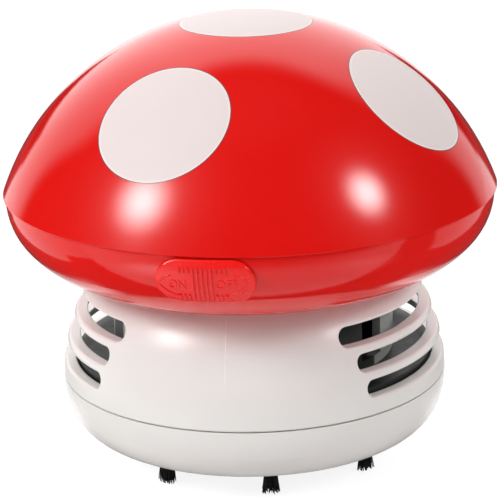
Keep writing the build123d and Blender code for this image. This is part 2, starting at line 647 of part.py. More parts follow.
def make_motor_armature():
    top = ARMATURE_Z + ARMATURE_LENGTH
    core = disc(ARMATURE_RADIUS, ARMATURE_Z, top)
    for pole in range(POLES):
        slot = block(*POLE_SLOT, ARMATURE_Z - OVER, top + OVER, ARMATURE_RADIUS)
        core -= Rot(0, 0, (pole + 0.5) * 360 / POLES) * slot
    core += disc(COMMUTATOR_RADIUS, top, CAN_TOP - COMMUTATOR_DROP)
    return core - disc(SHAFT_RADIUS, ARMATURE_Z - OVER, CAN_TOP)


def make_motor_magnets():
    outer = CAN_RADIUS - CAN_WALL - MAGNET_GLUE
    return group([sector(outer, outer - MAGNET_WALL, ARMATURE_Z, ARMATURE_Z + ARMATURE_LENGTH, side,
                         MAGNET_ARC) for side in (90, -90)])


# ---- Cells, tray and contacts ------------------------------------------------------------------------
def make_battery_cell(side):
    """Cell along X. side is -1 for the front cell and 1 for the rear one."""
    body_length = CELL_LENGTH - CELL_NUB
    cell = chamfer(Cylinder(CELL_RADIUS, body_length).edges().filter_by(GeomType.CIRCLE), CELL_BEVEL)
    cell += Pos(0, 0, body_length / 2 + CELL_NUB / 2) * Cylinder(CELL_NUB_RADIUS, CELL_NUB)
    positive_end = TRAY_INNER_X - PLATE - FIT
    along_x = Pos(positive_end - CELL_NUB - body_length / 2, -CELL_Y, CELL_Z) * Rot(0, 90, 0)
    turn = 0 if side < 0 else 180
    return Rot(0, 0, turn) * along_x * cell


def make_battery_tray():
    width, depth = 2 * (TRAY_INNER_X + TRAY_WALL), 2 * (TRAY_INNER_Y + TRAY_WALL)
    top = TRAY_TOP + TRAY_WALL_HEIGHT
    outline = fillet(Rectangle(width, depth).vertices(), TRAY_CORNER)
    tray = Pos(0, 0, TRAY_FLOOR_Z) * extrude(outline, top - TRAY_FLOOR_Z)
    tray -= block(2 * TRAY_INNER_X, 2 * TRAY_INNER_Y, TRAY_TOP, top + OVER)
    # Finger notches in the long walls.
    for y in (-depth / 2, depth / 2):
        tray -= block(NOTCH_WIDTH, 2 * TRAY_WALL + OVER, TRAY_TOP + NOTCH_SILL, top + OVER, 0, y)
    # Saddles under the cells.
    saddles = Part()
    for x in (-CRADLE_X, CRADLE_X):
        saddles += block(CRADLE_WALL, 2 * TRAY_INNER_Y + TRAY_WALL, TRAY_TOP - TRAY_FLOOR / 2,
                         TRAY_TOP + CRADLE_HEIGHT, x)
    for y in (-CELL_Y, CELL_Y):
        saddles -= Pos(0, y, CELL_Z) * Rot(0, 90, 0) * Cylinder(CELL_RADIUS + CELL_LIFT, width)
    tray += saddles
    # Ears over the bosses of the cap's lower half.
    for x in (-EAR_X, EAR_X):
        for y in (-EAR_Y, EAR_Y):
            tray += Pos(x, y) * disc(EAR_RADIUS, TRAY_FLOOR_Z, TRAY_TOP)
            tray += block(2 * EAR_RADIUS, EAR_OUT, TRAY_FLOOR_Z, TRAY_TOP, x,
                          y - EAR_OUT / 2 * (1 if y > 0 else -1))
            tray -= Pos(x, y) * disc(SCREW_HOLE, TRAY_FLOOR_Z - OVER, TRAY_TOP + OVER)
    # Sleeve and roof that hold the motor down.
    sleeve_x = 2 * (CAN_RADIUS + FIT + SLEEVE_WALL)
    sleeve_y = CAN_FLATS + 2 * (FIT + SLEEVE_WALL)
    roof = MOTOR_TOP + FIT
    tray += block(sleeve_x, sleeve_y, TRAY_FLOOR_Z, roof + ROOF)
    tray -= Pos(0, 0, TRAY_FLOOR_Z - OVER) * extrude(can_outline(-FIT), roof - TRAY_FLOOR_Z + OVER)
    tray -= disc(MOTOR_BOSS + ROOF_HOLE_GAP, roof - OVER, roof + ROOF + OVER)
    for x in (-TERMINAL_X, TERMINAL_X):
        tray -= block(TERMINAL[0] + 2 * ROOF_HOLE_GAP, TERMINAL[1] + 2 * ROOF_HOLE_GAP,
                      roof - OVER, roof + ROOF + OVER, x)
    return tray


def contact_plate(x_side, y_low, y_high):
    """Upright plate at the inner face of a short wall of the tray."""
    low = TRAY_TOP + PLATE_LIFT
    x = x_side * (TRAY_INNER_X - FIT / 2 - PLATE / 2)
    plate = block(PLATE, y_high - y_low, low, TRAY_TOP + TRAY_WALL_HEIGHT + PLATE_OVER, x,
                  (y_low + y_high) / 2)
    return fillet(plate.edges().filter_by(Axis.X).group_by(Axis.Z)[-1], PLATE_CORNER)


def make_contact_bridge():
    reach = CELL_Y + CELL_RADIUS - PLATE_INSET
    return contact_plate(-1, -reach, reach)


def make_contact_positive():
    return contact_plate(1, -CELL_Y - PLATE_HALF, -CELL_Y + PLATE_HALF)


def make_contact_negative():
    return contact_plate(1, CELL_Y - PLATE_HALF, CELL_Y + PLATE_HALF)


def make_contact_springs():
    rise = SPRING_SPACE - SPRING_WIRE - 2 * SPRING_PLAY
    path = Helix(rise / SPRING_TURNS, rise, SPRING_RADIUS)
    section = Plane(path @ 0, x_dir=(1, 0, 0), z_dir=path % 0) * Rectangle(SPRING_WIRE, SPRING_WIRE)
    coil = sweep(section, path=path, is_frenet=True)
    face = -(TRAY_INNER_X - PLATE - FIT) + SPRING_WIRE / 2 + SPRING_PLAY
    coil = Pos(face, -CELL_Y, CELL_Z) * Rot(0, 90, 0) * coil
    return group([coil, Rot(0, 0, 180) * coil])


# ---- Switch ---------------------------------------------------------------------------------------------
def front_block(width, z_low, z_high, x=0):
    """Block that reaches from inside the cap out past its front."""
    deep = CAP_RADIUS + 2 * SLIDER_PROUD - STEM_INNER
    return block(width, deep, z_low, z_high, x, -STEM_INNER - deep / 2)


def slider_plate():
    """Stadium-shaped plate that follows the wall of the lower half, bevelled along its top."""
    top = SEAM_Z - SLIDER_TOP_GAP
    crest = BASE_RADIUS + SLIDER_PROUD
    crown = turned([Polyline((0, NECK_Z), (crest, NECK_Z), (crest, top - SLIDER_CREST),
                             (crest - SLIDER_LEAN, top), (0, top), (0, NECK_Z))])
    outline = fillet(Rectangle(SLIDER_WIDTH, SLIDER_HEIGHT).vertices(), SLIDER_HEIGHT / 2 - 0.01)
    prism = Pos(0, -STEM_INNER, SLIDER_Z) * Rot(90, 0, 0) * extrude(outline, CAP_RADIUS - STEM_INNER + 2)
    plate = cap_base_form(-SLIDER_PROUD, NECK_Z) & crown & prism
    middle = cap_base_form(-SLIDER_PROUD / 2, NECK_Z)
    return fillet(outside(plate.edges(), middle), SLIDER_EDGE)


def slider_ribs():
    """Upright grip ribs: long ones in the middle, short ones above and below the words."""
    foot = SLIDER_Z - SLIDER_HEIGHT / 2 + RIB_MARGIN
    head = SEAM_Z - SLIDER_TOP_GAP - SLIDER_CREST
    bars = Part()
    count = LONG_RIBS + 2 * RIBS_EACH_SIDE
    for rib in range(count):
        x = RIB_SHIFT + (rib - (count - 1) / 2) * RIB_PITCH
        if RIBS_EACH_SIDE <= rib < count - RIBS_EACH_SIDE:
            bars += front_block(RIB_WIDTH, foot, head, x)
        else:
            bars += front_block(RIB_WIDTH, foot, foot + SHORT_RIB, x)
            bars += front_block(RIB_WIDTH, head - SHORT_RIB, head, x)
    return bars & cap_base_form(-SLIDER_PROUD - RIB_PROUD, NECK_Z)


def make_switch_slider():
    wall = cap_base_form(-GAP, NECK_Z - OVER)
    plate = slider_plate() + slider_ribs() - wall
    width = degrees(STEM_WIDTH / STEM_INNER)
    stem = sector(BASE_RADIUS + SLIDER_PROUD, STEM_INNER, STEM_Z - STEM_HEIGHT / 2,
                  STEM_Z + STEM_HEIGHT / 2, 0, width)
    stem &= cap_base_form(-SLIDER_PROUD / 2, NECK_Z)
    barb = STEM_HEIGHT / 2 + BARB_HEIGHT + GAP
    stem += sector(STEM_INNER + BARB_THICKNESS, STEM_INNER, STEM_Z - barb, STEM_Z + barb, 0, width)
    pocket = block(LEVER_WIDTH + 2 * LEVER_PLAY, 2 * (LEVER_REACH + FIT - STEM_INNER),
                   STEM_Z - LEVER_HEIGHT / 2 - LEVER_PLAY, STEM_Z + LEVER_HEIGHT / 2 + LEVER_PLAY,
                   0, -STEM_INNER)
    return at_azimuth(SLIDER_AZIMUTH) * (plate + stem - pocket)


def make_switch_bracket():
    width, deep, high = SWITCH_CASE
    low, top = STEM_Z - high / 2, STEM_Z + high / 2
    back = BRACKET_Y + BRACKET
    front = block(BRACKET_WIDTH, BRACKET, low, top, 0, BRACKET_Y + BRACKET / 2)
    case = fillet(front.edges().filter_by(Axis.Y), BRACKET_CORNER)
    case += block(width, deep, low, top, 0, back + deep / 2)
    case -= block(width - 2 * BRACKET, deep + OVER, low + BRACKET, top - BRACKET, 0,
                  back + (deep + OVER) / 2)
    slot = LEVER_WIDTH + 2 * abs(LEVER_X) + 2 * FIT
    case -= block(slot, 2 * OVER, STEM_Z - LEVER_HEIGHT / 2 - FIT, STEM_Z + LEVER_HEIGHT / 2 + FIT,
                  0, BRACKET_Y)
    for x in (-SWITCH_SCREW_X, SWITCH_SCREW_X):
        hole = Rot(90, 0, 0) * Cylinder(SWITCH_SCREW_HOLE, 2 * OVER)
        case -= Pos(x, BRACKET_Y, STEM_Z) * hole
    return case


def pin_spots():
    return [(pin - (PINS - 1) / 2) * PIN_PITCH for pin in range(PINS)]


def make_switch_base():
    width, high = SWITCH_CASE[0], SWITCH_CASE[2]
    margin = BRACKET + BOARD_PLAY
    base = block(width - 2 * margin, BOARD, STEM_Z - high / 2 + margin, STEM_Z + high / 2 - margin,
                 0, SWITCH_BACK - BOARD / 2)
    tall = PIN[2] / 2 + PIN_PLAY
    for x in pin_spots():
        base -= block(PIN[0] + 2 * PIN_PLAY, 2 * BOARD + OVER, STEM_Z - tall, STEM_Z + tall, x,
                      SWITCH_BACK)
    return base


def make_switch_pins():
    width, length, thick = PIN
    return group([block(width, length, STEM_Z - thick / 2, STEM_Z + thick / 2, x,
                        SWITCH_BACK - BOARD + length / 2) for x in pin_spots()])


def make_switch_lever():
    width, high = SHOE
    deep = SWITCH_CASE[1] - BOARD - 2 * FIT
    shoe_front = BRACKET_Y + BRACKET + FIT
    lever = block(width, deep, STEM_Z - high / 2, STEM_Z + high / 2, LEVER_X, shoe_front + deep / 2)
    tip = -LEVER_REACH * cos(radians(SLIDER_AZIMUTH))
    finger = shoe_front - tip + deep / 2
    return lever + block(LEVER_WIDTH, finger, STEM_Z - LEVER_HEIGHT / 2, STEM_Z + LEVER_HEIGHT / 2,
                         LEVER_X, tip + finger / 2)


# ---- Screws ---------------------------------------------------------------------
def make_shell_screws():
    piece = screw(SHELL_SCREW_LENGTH, SCREW_RADIUS, SCREW_HEAD_RADIUS, SCREW_HEAD)
    return group([spot(a, PILLAR_RING, BASE_FLOOR_TOP) * piece for a in PILLARS])


def make_fan_base_screws():
    piece = Rot(180, 0, 0) * screw(FAN_SCREW_LENGTH, SCREW_RADIUS, SCREW_HEAD_RADIUS, SCREW_HEAD)
    return group([spot(a, PILLAR_RING, FAN_UNDER) * piece for a in PILLARS])


def make_tray_screws():
    piece = screw(TRAY_SCREW_LENGTH, SCREW_RADIUS, SCREW_HEAD_RADIUS, SCREW_HEAD)
    return group([Pos(x, y, TRAY_TOP) * piece for x in (-EAR_X, EAR_X) for y in (-EAR_Y, EAR_Y)])


def make_switch_screws():
    piece = screw(SWITCH_SCREW_LENGTH, SMALL_SCREW_RADIUS, SMALL_SCREW_HEAD_RADIUS, SMALL_SCREW_HEAD)
    seat = Rot(-90, 0, 0)
    return group([Pos(x, BRACKET_Y + BRACKET, STEM_Z) * seat * piece
                  for x in (-SWITCH_SCREW_X, SWITCH_SCREW_X)])


PIECES = {
    "cap_dome": make_cap_dome,
    "cap_base": make_cap_base,
    "body_shell": make_body_shell,
    "fan_housing": make_fan_housing,
    "fan_base": make_fan_base,
    "impeller": make_impeller,
    "dust_cup": make_dust_cup,
    "filter_frame": make_filter_frame,
    "filter_cloth": make_filter_cloth,
    "bristle_tufts": make_bristle_tufts,
    "motor_can": make_motor_can,
    "motor_bush": make_motor_bush,
    "motor_end_bell": make_motor_end_bell,
    "motor_terminals": make_motor_terminals,
    "motor_shaft": make_motor_shaft,
    "motor_armature": make_motor_armature,
    "motor_magnets": make_motor_magnets,
    "battery_cell_front": lambda: make_battery_cell(-1),
    "battery_cell_rear": lambda: make_battery_cell(1),
    "battery_tray": make_battery_tray,
    "contact_bridge": make_contact_bridge,
    "contact_positive": make_contact_positive,
    "contact_negative": make_contact_negative,
    "contact_springs": make_contact_springs,
    "switch_slider": make_switch_slider,
    "switch_bracket": make_switch_bracket,
    "switch_base": make_switch_base,
    "switch_pins": make_switch_pins,
    "switch_lever": make_switch_lever,
    "shell_screws": make_shell_screws,
    "fan_base_screws": make_fan_base_screws,
    "tray_screws": make_tray_screws,
    "switch_screws": make_switch_screws,
}

os.makedirs("parts", exist_ok=True)
for name, make in PIECES.items():
    export_step(make(), f"parts/{name}.step")
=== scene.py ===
import bpy
import bmesh
import math
import random
from mathutils import Matrix, Vector
from mathutils.bvhtree import BVHTree


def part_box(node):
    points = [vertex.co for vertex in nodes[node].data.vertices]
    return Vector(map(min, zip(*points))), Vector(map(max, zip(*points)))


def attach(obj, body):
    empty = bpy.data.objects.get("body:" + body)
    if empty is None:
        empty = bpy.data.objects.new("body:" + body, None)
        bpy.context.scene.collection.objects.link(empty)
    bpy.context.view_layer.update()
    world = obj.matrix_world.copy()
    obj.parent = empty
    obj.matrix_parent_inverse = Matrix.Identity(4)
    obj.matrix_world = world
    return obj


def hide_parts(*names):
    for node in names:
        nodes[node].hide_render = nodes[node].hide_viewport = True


# Desktop mini vacuum cleaner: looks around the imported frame. Metres, +Z up,
# the switch faces -Y.

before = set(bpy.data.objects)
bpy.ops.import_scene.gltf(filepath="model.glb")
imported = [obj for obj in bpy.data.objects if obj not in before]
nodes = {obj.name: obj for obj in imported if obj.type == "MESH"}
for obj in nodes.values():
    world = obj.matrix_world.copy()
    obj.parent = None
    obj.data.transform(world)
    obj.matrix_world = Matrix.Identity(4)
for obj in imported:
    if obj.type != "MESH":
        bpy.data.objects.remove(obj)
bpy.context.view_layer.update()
scene = bpy.context.scene
random.seed(7)

# ---- The printed dome (metres) ------------------------------------------------
DOME_RISE = 0.0366           # height of the dome above the cap's upright band
DOME_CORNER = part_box("cap_dome")[1]
DOME_SPHERE = (DOME_CORNER.y ** 2 + DOME_RISE ** 2) / (2 * DOME_RISE)
DOME_CENTRE_Z = DOME_CORNER.z - DOME_SPHERE
PRINT_REACH = 0.0008         # the print lies on what is less than this under the dome's surface
SPOT_CHORD = 0.0140          # radius of a printed spot
SPOT_TILT = math.radians(48.8)
SPOT_AZIMUTHS = (-18.9, 72.0, 161.0, -109.0)

# ---- Colours and finishes -------------------------------------------------------
RED = (0.76, 0.0085, 0.0062)
# painted light: the cap's red plastic made lighter for the slider and its raised words
SLIDER_RED_PAINTED_LIGHTER = (0.90, 0.010, 0.008)
WHITE = (0.80, 0.79, 0.765)
# painted highlight: colour of the body's flash line, lighter than the plastic
FLASH_HIGHLIGHT_WHITE = (0.97, 0.95, 0.92)
SPOT_WHITE = (0.80, 0.70, 0.69)
SPOT_LINE = (0.21, 0.045, 0.05)      # thin dark line round a printed spot
GREY = (0.33, 0.34, 0.33)
CAGE_BLACK = (0.03, 0.03, 0.029)
BLACK = (0.012, 0.012, 0.012)

PLASTIC_IOR = 1.49
SCATTERED_ROUGHNESS = 0.55   # least roughness towards light that goes on to other surfaces

# The white plastic: gloss, variation of its colour, depth of its skin, variation of its gloss.
WHITE_FINISH = {"roughness": 0.27, "vary": 0.002, "peel": 0.0000015, "patchy": 0.01, "even": True}
BODY_EDGE = 0.0004           # rounding of the body's edges in its shading

FLASH_HALF = 0.00013         # flash line: half its width, the height where it fades, how far it stands out
FLASH_FADE = (0.0265, 0.0300)
FLASH_PROUD = 0.00003
SHOULDER_Z = 0.0322          # from here up the body's shoulder is shaded as rounding inwards
SHOULDER_LEAN = 30.0         # depth of that rounding, in metres for each square metre of height
CAGE_BLACK_EDGE = (-0.0122, -0.0128)   # where the fan cage turns black beside its outlets


# ---- Node helper --------------------------------------------------------------
class Graph:
    """Short names for the nodes of one tree. A value may be a number, a colour or a socket."""

    def __init__(self, tree):
        self.tree = tree
        tree.nodes.clear()

    def node(self, kind, values=None, **settings):
        made = self.tree.nodes.new(kind)
        for key, value in settings.items():
            setattr(made, key, value)
        for key, value in (values or {}).items():
            self.put(made.inputs[key], value)
        return made

    def put(self, socket, value):
        if isinstance(value, bpy.types.NodeSocket):
            self.tree.links.new(value, socket)
        elif isinstance(value, (tuple, list, Vector)) and socket.type == "RGBA":
            socket.default_value = (*value[:3], 1)
        else:
            socket.default_value = value

    def math(self, operation, a, b=0.0):
        return self.node("ShaderNodeMath", {0: a, 1: b}, operation=operation).outputs[0]

    def vector(self, operation, a, b=(0, 0, 0)):
        made = self.node("ShaderNodeVectorMath", {0: a, 1: b}, operation=operation)
        return made.outputs["Value" if operation in ("DOT_PRODUCT", "LENGTH", "DISTANCE") else "Vector"]

    def ease(self, value, low, high, to_low=0.0, to_high=1.0, kind="SMOOTHSTEP"):
        made = self.node("ShaderNodeMapRange", {"Value": value, "From Min": low, "From Max": high,
                                                "To Min": to_low, "To Max": to_high},
                         interpolation_type=kind, clamp=True)
        return made.outputs["Result"]

    def mix(self, factor, a, b):
        made = self.node("ShaderNodeMix", data_type="RGBA")
        self.put(made.inputs[0], factor)
        self.put(made.inputs[6], a)
        self.put(made.inputs[7], b)
        return made.outputs[2]

    def noise(self, scale, detail=3.0, roughness=0.5, vector=None):
        made = self.node("ShaderNodeTexNoise", {"Scale": scale, "Detail": detail, "Roughness": roughness})
        self.put(made.inputs["Vector"], vector if vector is not None else self.place())
        return made.outputs["Fac"]

    def place(self):
        if not hasattr(self, "_place"):
            self._place = self.node("ShaderNodeTexCoord").outputs["Object"]
        return self._place

    def dulled(self, roughness):
        """Roughness as the camera sees it, and dull for light that other surfaces pick up."""
        scattered = self.node("ShaderNodeLightPath").outputs["Is Diffuse Ray"]
        return self.math("MAXIMUM", roughness, self.math("MULTIPLY", scattered, SCATTERED_ROUGHNESS))

    def bump(self, height, distance, strength=1.0, normal=None):
        made = self.node("ShaderNodeBump", {"Height": height, "Distance": distance, "Strength": strength})
        if normal is not None:
            self.put(made.inputs["Normal"], normal)
        return made.outputs["Normal"]


def material(name):
    made = bpy.data.materials.new(name)
    made.use_nodes = True
    graph = Graph(made.node_tree)
    shader = graph.node("ShaderNodeBsdfPrincipled")
    out = graph.node("ShaderNodeOutputMaterial")
    graph.tree.links.new(shader.outputs[0], out.inputs["Surface"])
    return made, graph, shader


def paint(node_name, *materials):
    mesh = nodes[node_name].data
    mesh.materials.clear()
    for one in materials:
        mesh.materials.append(one)


def shade(colour, factor):
    return tuple(min(1.0, c * factor) for c in colour)


# ---- Materials --------------------------------------------------------------------
def moulded(name, colour, roughness, vary=0.04, peel=0.000006, patchy=0.15, round_edge=0.0, even=False):
    """Injection-moulded plastic: faint flow marks in the colour, uneven gloss and a fine skin.

    An even one has broad, soft marks without the fine grain.
    """
    made, g, shader = material(name)
    flow = g.noise(35, 0, 0.5) if even else g.noise(90, 4, 0.6)
    g.put(shader.inputs["Base Color"], g.mix(flow, shade(colour, 1 - vary), shade(colour, 1 + vary)))
    wear = g.noise(45, 0, 0.5) if even else g.noise(420, 5, 0.62)
    gloss = g.ease(wear, 0.3, 0.7, roughness * (1 - patchy), roughness * (1 + patchy), "LINEAR")
    g.put(shader.inputs["Roughness"], g.dulled(gloss))
    skin = g.noise(2600, 2, 0.5)
    edge = g.node("ShaderNodeBevel", {"Radius": round_edge}, samples=4).outputs[0] if round_edge else None
    g.put(shader.inputs["Normal"], g.bump(skin, peel, 0.6, edge))
    shader.inputs["IOR"].default_value = PLASTIC_IOR
    return made, g, shader


def moulded_shell(name):
    """White body plastic with the fine flash line of the two mould halves, front and rear, painted lighter as
    a highlight.
    """
    made, g, shader = moulded(name, WHITE, round_edge=BODY_EDGE, **WHITE_FINISH)
    parts = g.node("ShaderNodeSeparateXYZ", {"Vector": g.place()})
    beside = g.math("ABSOLUTE", parts.outputs["X"])
    flash_and_highlight = g.ease(beside, FLASH_HALF, 0.0)
    flash_and_highlight = g.math("MULTIPLY", flash_and_highlight, g.ease(parts.outputs["Z"], *FLASH_FADE))
    colour = shader.inputs["Base Color"].links[0].from_socket
    # The flash line's colour is painted lighter: a painted highlight on its ridge.
    g.put(shader.inputs["Base Color"], g.mix(flash_and_highlight, colour, FLASH_HIGHLIGHT_WHITE))
    normal = shader.inputs["Normal"].links[0].from_socket
    # The shoulder under the cap rounds inwards: its face leans back more and more.
    above = g.math("MAXIMUM", g.math("SUBTRACT", parts.outputs["Z"], SHOULDER_Z), 0.0)
    lean = g.math("MULTIPLY", g.math("MULTIPLY", above, above), -SHOULDER_LEAN)
    normal = g.bump(lean, 1.0, 1.0, normal)
    g.put(shader.inputs["Normal"], g.bump(flash_and_highlight, FLASH_PROUD, 1.0, normal))
    return made


def moulded_housing(name):
    """Grey fan cage, black beside its outlets, where the photo shows black through the slots."""
    made, g, shader = moulded(name, GREY, 0.38, 0.05)
    parts = g.node("ShaderNodeSeparateXYZ", {"Vector": g.place()})
    x, y = parts.outputs["X"], parts.outputs["Y"]
    side = g.math("MULTIPLY", g.math("SIGN", x), y)
    black = g.ease(side, *CAGE_BLACK_EDGE)
    colour = shader.inputs["Base Color"].links[0].from_socket
    g.put(shader.inputs["Base Color"], g.mix(black, colour, CAGE_BLACK))
    return made


def spotted_cap(name, colour, paint_colour):
    """Glossy red with printed spots: one at the crown and four round it."""
    made, g, shader = material(name)
    ray = g.vector("NORMALIZE", g.vector("SUBTRACT", g.place(), (0, 0, DOME_CENTRE_Z)))
    nearest = g.vector("DOT_PRODUCT", ray, (0, 0, 1))
    for azimuth in SPOT_AZIMUTHS:
        a = math.radians(azimuth)
        middle = (math.cos(SPOT_TILT) * math.sin(a), -math.cos(SPOT_TILT) * math.cos(a), math.sin(SPOT_TILT))
        nearest = g.math("MAXIMUM", nearest, g.vector("DOT_PRODUCT", ray, middle))
    # Distance in metres from the spot's edge, along the dome, positive inside.
    angle = math.asin(SPOT_CHORD / DOME_SPHERE)
    inside = g.math("MULTIPLY", g.math("SUBTRACT", angle, g.math("ARCCOSINE", nearest)), DOME_SPHERE)
    spot = g.ease(inside, -0.00005, 0.00005)
    line = g.math("MULTIPLY", g.ease(inside, -0.00022, -0.00012), g.ease(inside, 0.00010, 0.0))
    # A band just inside each spot's edge is painted lighter: a painted highlight on the edge of the raised
    # print.
    painted_rim_highlight = g.math("MULTIPLY", spot, g.ease(inside, 0.0006, 0.00025))
    # Only the outer face of the lid is printed.
    height = g.vector("LENGTH", g.vector("SUBTRACT", g.place(), (0, 0, DOME_CENTRE_Z)))
    outer = g.math("GREATER_THAN", height, DOME_SPHERE - PRINT_REACH)
    spot = g.math("MULTIPLY", spot, outer)
    line = g.math("MULTIPLY", line, outer)
    painted_rim_highlight = g.math("MULTIPLY", painted_rim_highlight, outer)
    flow = g.noise(70, 4, 0.6)
    red = g.mix(flow, shade(colour, 0.97), shade(colour, 1.03))
    cloud = g.noise(160, 4, 0.6)
    white = g.mix(cloud, shade(paint_colour, 0.985), shade(paint_colour, 1.015))
    # painted highlight: the spot's colour made lighter along its edge
    white = g.mix(painted_rim_highlight, white, shade(paint_colour, 1.12))
    base = g.mix(spot, red, white)
    g.put(shader.inputs["Base Color"], g.mix(line, base, SPOT_LINE))
    wear = g.noise(420, 5, 0.62)
    gloss = g.ease(wear, 0.3, 0.7, 0.075, 0.105, "LINEAR")
    g.put(shader.inputs["Roughness"], g.dulled(g.ease(spot, 0, 1, gloss, 0.62, "LINEAR")))
    skin = g.noise(2400, 2, 0.5)
    normal = g.bump(skin, 0.000004, 0.5)
    g.put(shader.inputs["Normal"], g.bump(spot, 0.00003, 0.8, normal))
    shader.inputs["IOR"].default_value = PLASTIC_IOR
    return made


def steel(name, colour, roughness):
    made, g, shader = material(name)
    brushed = g.noise(500, 4, 0.6, g.vector("MULTIPLY", g.place(), (1, 1, 6)))
    g.put(shader.inputs["Base Color"], g.mix(brushed, shade(colour, 0.85), shade(colour, 1.1)))
    gloss = g.ease(brushed, 0.3, 0.7, roughness * 0.8, roughness * 1.25, "LINEAR")
    g.put(shader.inputs["Roughness"], g.dulled(gloss))
    g.put(shader.inputs["Normal"], g.bump(brushed, 0.00001, 0.5))
    shader.inputs["Metallic"].default_value = 1.0
    return made


red_cap = spotted_cap("red_spotted", RED, SPOT_WHITE)
red_plain = moulded("red_plain", RED, 0.09)[0]
# slider: the cap's red painted lighter, as painted light
red_slider = moulded("red_slider", SLIDER_RED_PAINTED_LIGHTER, 0.26, 0.03)[0]
white_plastic = moulded("white_cup", WHITE, **WHITE_FINISH)[0]
white_shell = moulded_shell("white_shell")
grey_plastic = moulded_housing("grey_housing")
black_plastic = moulded("black_plastic", BLACK, 0.42, 0.1, 0.00001)[0]
zinc = steel("zinc_steel", (0.62, 0.63, 0.62), 0.34)
nickel = steel("nickel_contact", (0.66, 0.62, 0.54), 0.28)
bronze = steel("bronze_bush", (0.55, 0.36, 0.16), 0.45)
laminated = steel("armature_steel", (0.28, 0.28, 0.29), 0.5)
bell = moulded("bell_nylon", (0.72, 0.70, 0.63), 0.5, 0.03)[0]
board = moulded("phenolic_board", (0.26, 0.12, 0.045), 0.55, 0.15)[0]
ferrite = moulded("ferrite", (0.035, 0.034, 0.036), 0.7, 0.2)[0]


def cell_sleeve(name):
    """Plain printed sleeve: dark green, faintly mottled and a little metallic."""
    made, g, shader = material(name)
    flow = g.noise(200, 3, 0.5)
    g.put(shader.inputs["Base Color"], g.mix(flow, (0.03, 0.11, 0.06), (0.04, 0.13, 0.075)))
    g.put(shader.inputs["Roughness"], g.ease(flow, 0.3, 0.7, 0.22, 0.3, "LINEAR"))
    shader.inputs["Metallic"].default_value = 0.35
    return made


sleeve = cell_sleeve("cell_sleeve")
# raised words and pointers: the cap's red painted lighter, as painted light
red_raised = moulded("red_raised", SLIDER_RED_PAINTED_LIGHTER, 0.22, 0.03)[0]


def make_bristle_nylon():
    made, g, shader = material("bristle_nylon")
    streak = g.noise(3000, 2, 0.5)
    g.put(shader.inputs["Base Color"], g.mix(streak, (0.006, 0.006, 0.006), (0.016, 0.016, 0.017)))
    g.put(shader.inputs["Roughness"], g.ease(streak, 0.3, 0.7, 0.32, 0.46, "LINEAR"))
    return made


def make_felt():
    made, g, shader = material("felt")
    fibres = g.noise(1800, 6, 0.7, g.vector("MULTIPLY", g.place(), (1, 1, 3)))
    cloud = g.noise(260, 4, 0.6)
    colour = g.mix(cloud, (0.66, 0.65, 0.60), (0.76, 0.75, 0.71))
    between = shade((0.7, 0.69, 0.65), 0.85)
    g.put(shader.inputs["Base Color"], g.mix(g.ease(fibres, 0.35, 0.65), between, colour))
    shader.inputs["Roughness"].default_value = 0.92
    shader.inputs["Sheen Weight"].default_value = 0.3
    g.put(shader.inputs["Normal"], g.bump(fibres, 0.00006, 0.9))
    return made


bristle_nylon = make_bristle_nylon()
felt = make_felt()

FINISHES = {
    "cap_dome": red_cap, "cap_base": red_plain, "switch_slider": red_slider,
    "body_shell": white_shell, "dust_cup": white_plastic,
    "fan_housing": grey_plastic, "fan_base": black_plastic, "impeller": black_plastic,
    "battery_tray": black_plastic, "filter_frame": black_plastic, "filter_cloth": white_plastic,
    "bristle_tufts": black_plastic, "motor_can": zinc, "motor_bush": bronze,
    "motor_end_bell": bell, "motor_terminals": nickel, "motor_shaft": zinc,
    "motor_armature": laminated, "motor_magnets": ferrite, "battery_cell_front": sleeve,
    "battery_cell_rear": sleeve, "contact_bridge": nickel, "contact_positive": nickel,
    "contact_negative": nickel, "contact_springs": nickel, "switch_bracket": zinc,
    "switch_base": board, "switch_pins": nickel, "switch_lever": black_plastic,
    "shell_screws": zinc, "fan_base_screws": zinc, "tray_screws": zinc, "switch_screws": zinc,
}
for node_name, finish in FINISHES.items():
    paint(node_name, finish)


# ---- Pieces that replace plain solids ------------------------------------------------
def piece(name, mesh, finish, body, slot, *replaced):
    made = bpy.data.objects.new(name, mesh)
    scene.collection.objects.link(made)
    mesh.materials.clear()
    mesh.materials.append(finish)
    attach(made, body)
    if replaced:
        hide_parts(*replaced)
    return made


def mesh_of(form, name, smooth=True):
    bmesh.ops.recalc_face_normals(form, faces=form.faces)
    mesh = bpy.data.meshes.new(name)
    form.to_mesh(mesh)
    form.free()
    for face in mesh.polygons:
        face.use_smooth = smooth
    return mesh


def strand(form, line, radius, sides=5):
    """Closed tube along a short line of points, thinner towards its tip."""
    rings = []
    for step, point in enumerate(line):
        along = (line[min(step + 1, len(line) - 1)] - line[max(step - 1, 0)]).normalized()
        across = along.orthogonal().normalized()
        other = along.cross(across)
        wide = radius * (1 - 0.25 * step / (len(line) - 1))
        rings.append([form.verts.new(point + (across * math.cos(a) + other * math.sin(a)) * wide)
                      for a in (2 * math.pi * k / sides for k in range(sides))])
    for low, high in zip(rings, rings[1:]):
        for k in range(sides):
            form.faces.new((low[k], low[(k + 1) % sides], high[(k + 1) % sides], high[k]))
    form.faces.new(reversed(rings[0]))
    form.faces.new(rings[-1])


TUFTS = 8
TUFT_RING = 0.030           # distance of a tuft from the axis
TUFT_AZIMUTH = 14.2
TUFT_ROOT = (0.0030, 0.0016)    # size of a tuft in the cup and at its tip
TUFT_TIP = (0.0037, 0.0024)
TUFT_TOP = 0.0052           # height where a tuft comes out of the cup's floor
BRISTLE = 0.00013           # radius of one bristle
ROWS = (12, 6)              # bristles along and across a tuft


